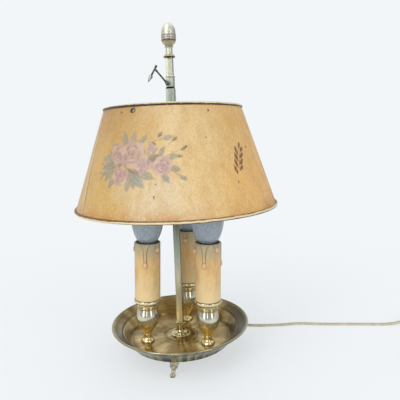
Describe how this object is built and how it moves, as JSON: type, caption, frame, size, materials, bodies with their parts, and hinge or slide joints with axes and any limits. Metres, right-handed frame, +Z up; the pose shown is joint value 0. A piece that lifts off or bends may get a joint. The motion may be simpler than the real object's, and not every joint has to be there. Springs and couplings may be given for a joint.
{
  "type": "bouillotte lamp",
  "caption": "Table lamp with a round tray on feet, candle lights round a square stem, and a painted metal shade on a slider locked by an arrow key.",
  "frame": {"origin": "on the table plane under the stem's axis", "axes": "+Z up along the stem, -Y towards the front, +X to the right"},
  "size_m": [0.4718, 0.2112, 0.3523],
  "materials": {
    "tray": "spun brass, worn lacquer",
    "foot_front": "cast brass",
    "foot_right": "cast brass",
    "foot_left": "cast brass",
    "foot_studs": "plated",
    "escutcheon": "polished",
    "stem": "nickel worn to brass",
    "stem_washer": "plated",
    "stem_nut": "plated",
    "cover_plate": "dull brown lacquer",
    "cover_nut": "satin",
    "candle_cup_left": "turned, polished",
    "candle_cup_right": "turned, polished",
    "candle_cup_back": "turned, polished",
    "cup_washers": "plated",
    "cup_nuts": "plated",
    "holder_nipples": "plated",
    "lampholder_left": "brown phenolic",
    "lampholder_right": "brown phenolic",
    "lampholder_back": "brown phenolic",
    "holder_shells": "plain",
    "holder_contacts": "plain",
    "holder_leads": "pale wire cover",
    "candle_sleeve_left": "waxy, aged ivory",
    "candle_sleeve_right": "waxy, aged ivory",
    "candle_sleeve_back": "waxy, aged ivory",
    "bulb_cap_left": "threaded",
    "bulb_cap_right": "threaded",
    "bulb_cap_back": "threaded",
    "bulb_glass_left": "frosted",
    "bulb_glass_right": "frosted",
    "bulb_glass_back": "frosted",
    "terminal_block": "ivory",
    "supply_lead": "gold-tinted clear cover",
    "cord_bush": "matt",
    "shade": "aged mustard paint with a painted bouquet",
    "shade_top_rim": "dark brown, worn pale on top",
    "shade_bottom_rim": "cream with a dark underside",
    "spider": "satin",
    "spider_screws": "tarnished",
    "spider_nuts": "plain",
    "slider_tube": "plated",
    "slider_collar": "plated",
    "key_screw": "plated",
    "key_arm": "plated",
    "key_arrow": "plated, worn",
    "finial": "pale gilt",
    "cord_run": "gold-tinted clear cover",
    "switch_base": "moulded",
    "switch_cover": "moulded",
    "switch_contacts": "plain",
    "switch_rocker": "moulded",
    "switch_screws": "plated",
    "cord_link": "gold-tinted clear cover",
    "cord_coil": "gold-tinted clear cover",
    "coil_tie": "plastic strap",
    "cord_tail": "gold-tinted clear cover",
    "plug_body": "moulded",
    "plug_pins": "plated brass"
  },
  "bodies": {
    "base": {"tray": "tray", "foot_front": "foot_front", "foot_right": "foot_right", "foot_left": "foot_left", "foot_studs": "foot_studs", "escutcheon": "escutcheon", "stem": "stem", "stem_washer": "stem_washer", "stem_nut": "stem_nut", "cover_plate": "cover_plate", "cover_nut": "cover_nut", "candle_cup_left": "candle_cup_left", "candle_cup_right": "candle_cup_right", "candle_cup_back": "candle_cup_back", "cup_washers": "cup_washers", "cup_nuts": "cup_nuts", "holder_nipples": "holder_nipples", "lampholder_left": "lampholder_left", "lampholder_right": "lampholder_right", "lampholder_back": "lampholder_back", "holder_shells": "holder_shells", "holder_contacts": "holder_contacts", "holder_leads": "holder_leads", "candle_sleeve_left": "candle_sleeve_left", "candle_sleeve_right": "candle_sleeve_right", "candle_sleeve_back": "candle_sleeve_back", "terminal_block": "terminal_block", "supply_lead": "supply_lead", "cord_bush": "cord_bush", "cord_run": "cord_run", "switch_base": "switch_base", "switch_cover": "switch_cover", "switch_contacts": "switch_contacts", "switch_screws": "switch_screws", "cord_link": "cord_link", "cord_coil": "cord_coil", "coil_tie": "coil_tie", "cord_tail": "cord_tail", "plug_body": "plug_body", "plug_pins": "plug_pins"},
    "shade_carrier": {"shade": "shade", "shade_top_rim": "shade_top_rim", "shade_bottom_rim": "shade_bottom_rim", "spider": "spider", "spider_screws": "spider_screws", "spider_nuts": "spider_nuts", "slider_tube": "slider_tube", "slider_collar": "slider_collar"},
    "arrow_key": {"key_screw": "key_screw", "key_arm": "key_arm", "key_arrow": "key_arrow"},
    "bulb_left": {"bulb_cap_left": "bulb_cap_left", "bulb_glass_left": "bulb_glass_left"},
    "bulb_right": {"bulb_cap_right": "bulb_cap_right", "bulb_glass_right": "bulb_glass_right"},
    "bulb_back": {"bulb_cap_back": "bulb_cap_back", "bulb_glass_back": "bulb_glass_back"},
    "finial": {"finial": "finial"},
    "rocker": {"switch_rocker": "switch_rocker"}
  },
  "joints": [
    {"name": "shade_slide", "type": "slide", "parent": "base", "child": "shade_carrier", "axis": [0, 0, 1], "range_m": [-0.05, 0.015]},
    {"name": "key_turn", "type": "hinge", "parent": "shade_carrier", "child": "arrow_key", "pos_m": [-0.00311, -0.00449, 0.2923], "axis": [-0.1908, -0.9816, 0], "range_deg": [0, 100]},
    {"name": "left_bulb_turn", "type": "hinge", "parent": "base", "child": "bulb_left", "pos_m": [-0.03143, -0.01174, 0.12089], "axis": [0.0471, 0, 0.9989], "range_deg": [0, 1080]},
    {"name": "right_bulb_turn", "type": "hinge", "parent": "base", "child": "bulb_right", "pos_m": [0.03103, -0.02543, 0.12096], "axis": [0.0279, 0, 0.9996], "range_deg": [0, 1080]},
    {"name": "back_bulb_turn", "type": "hinge", "parent": "base", "child": "bulb_back", "pos_m": [0.01209, 0.03717, 0.12091], "axis": [0.0419, 0, 0.9991], "range_deg": [0, 1080]},
    {"name": "finial_turn", "type": "hinge", "parent": "base", "child": "finial", "pos_m": [0, 0, 0.324], "axis": [0, 0, 1], "range_deg": [0, 1440]},
    {"name": "rocker_tip", "type": "hinge", "parent": "base", "child": "rocker", "pos_m": [0.311, 0.03, 0.0124], "axis": [0, -1, 0], "range_deg": [0, 14]}
  ]
}
